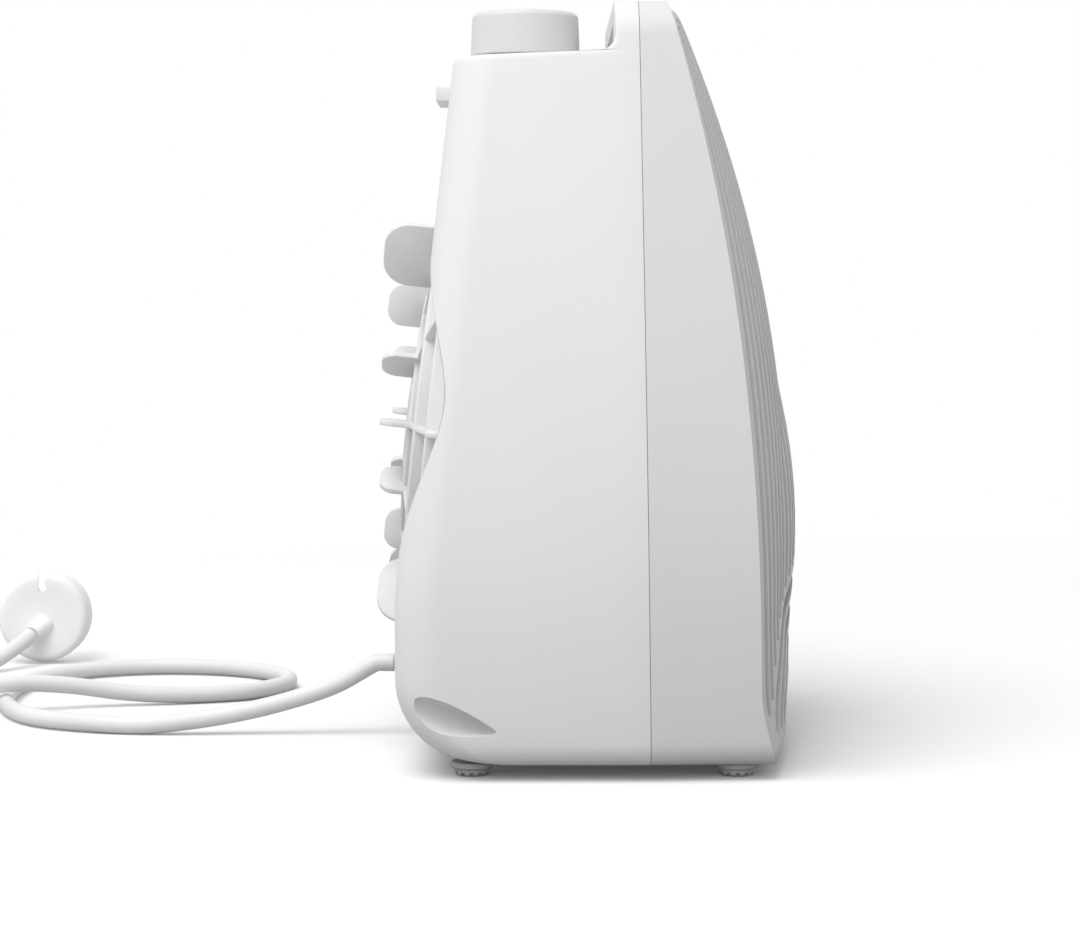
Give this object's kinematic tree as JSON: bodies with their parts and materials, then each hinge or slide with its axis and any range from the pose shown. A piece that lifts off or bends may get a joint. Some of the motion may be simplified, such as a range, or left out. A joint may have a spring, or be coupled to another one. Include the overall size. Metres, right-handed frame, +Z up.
{
  "type": "fan heater",
  "caption": "Upright fan heater with a crowned ribbed outlet, a round rear inlet grille, deck knobs, a grip recess and a mains cord lying with its coil and plug.",
  "frame": {"origin": "middle of the heater's width and depth, on the surface it stands on", "axes": "+X to the heater's right seen from the back, -Y out of the outlet panel at the front, +Z up"},
  "size_m": [0.3049, 0.4099, 0.2572],
  "materials": {
    "white_plastic": "fine matte white",
    "inner_plastic": "satin dark grey",
    "steel": "zinc plated",
    "copper": "lacquered winding and sintered bronze",
    "cord_plastic": "soft white"
  },
  "bodies": {
    "root": {"rear_shell": "white_plastic", "front_shell": "white_plastic", "front_grille": "white_plastic", "inlet_grille": "white_plastic", "foot_rear_left": "white_plastic", "foot_rear_right": "white_plastic", "foot_front_left": "white_plastic", "foot_front_right": "white_plastic", "thermostat_body": "inner_plastic", "mode_switch_body": "inner_plastic", "air_duct": "inner_plastic", "thermal_cutout": "inner_plastic", "control_plate": "steel", "plate_screw_left": "steel", "plate_screw_right": "steel", "motor_core": "steel", "motor_bridge_front": "steel", "motor_bridge_rear": "steel", "motor_screw_left": "steel", "motor_screw_right": "steel", "heater_frame": "steel", "heating_ribbon": "steel", "case_screw_lower_left": "steel", "case_screw_lower_right": "steel", "case_screw_upper_left": "steel", "case_screw_upper_right": "steel", "duct_screw_upper_right": "steel", "duct_screw_upper_left": "steel", "duct_screw_lower_left": "steel", "duct_screw_lower_right": "steel", "plug_pin_left": "steel", "plug_pin_right": "steel", "motor_coil": "copper", "bearing_front": "copper", "bearing_rear": "copper", "cord_bushing": "cord_plastic", "cord_run": "cord_plastic", "cord_coil": "cord_plastic", "cord_lead": "cord_plastic", "plug_body": "cord_plastic"},
    "thermostat_knob": {"thermostat_knob": "white_plastic", "thermostat_spindle": "steel"},
    "mode_knob": {"mode_knob": "white_plastic", "mode_spindle": "steel"},
    "fan": {"fan_impeller": "inner_plastic", "motor_shaft": "steel", "motor_rotor": "steel", "fan_retainer": "steel"}
  },
  "joints": [
    {"name": "thermostat_turn", "type": "hinge", "parent": "root", "child": "thermostat_knob", "pos_m": [-0.039, 0.02235, 0.245], "axis": [0, 0, 1], "range_deg": [0, 270]},
    {"name": "mode_turn", "type": "hinge", "parent": "root", "child": "mode_knob", "pos_m": [0.039, 0.02235, 0.245], "axis": [0, 0, 1], "range_deg": [0, 135]},
    {"name": "fan_spin", "type": "hinge", "parent": "root", "child": "fan", "pos_m": [0, 0.01735, 0.112], "axis": [0, 1, 0], "continuous": true}
  ]
}
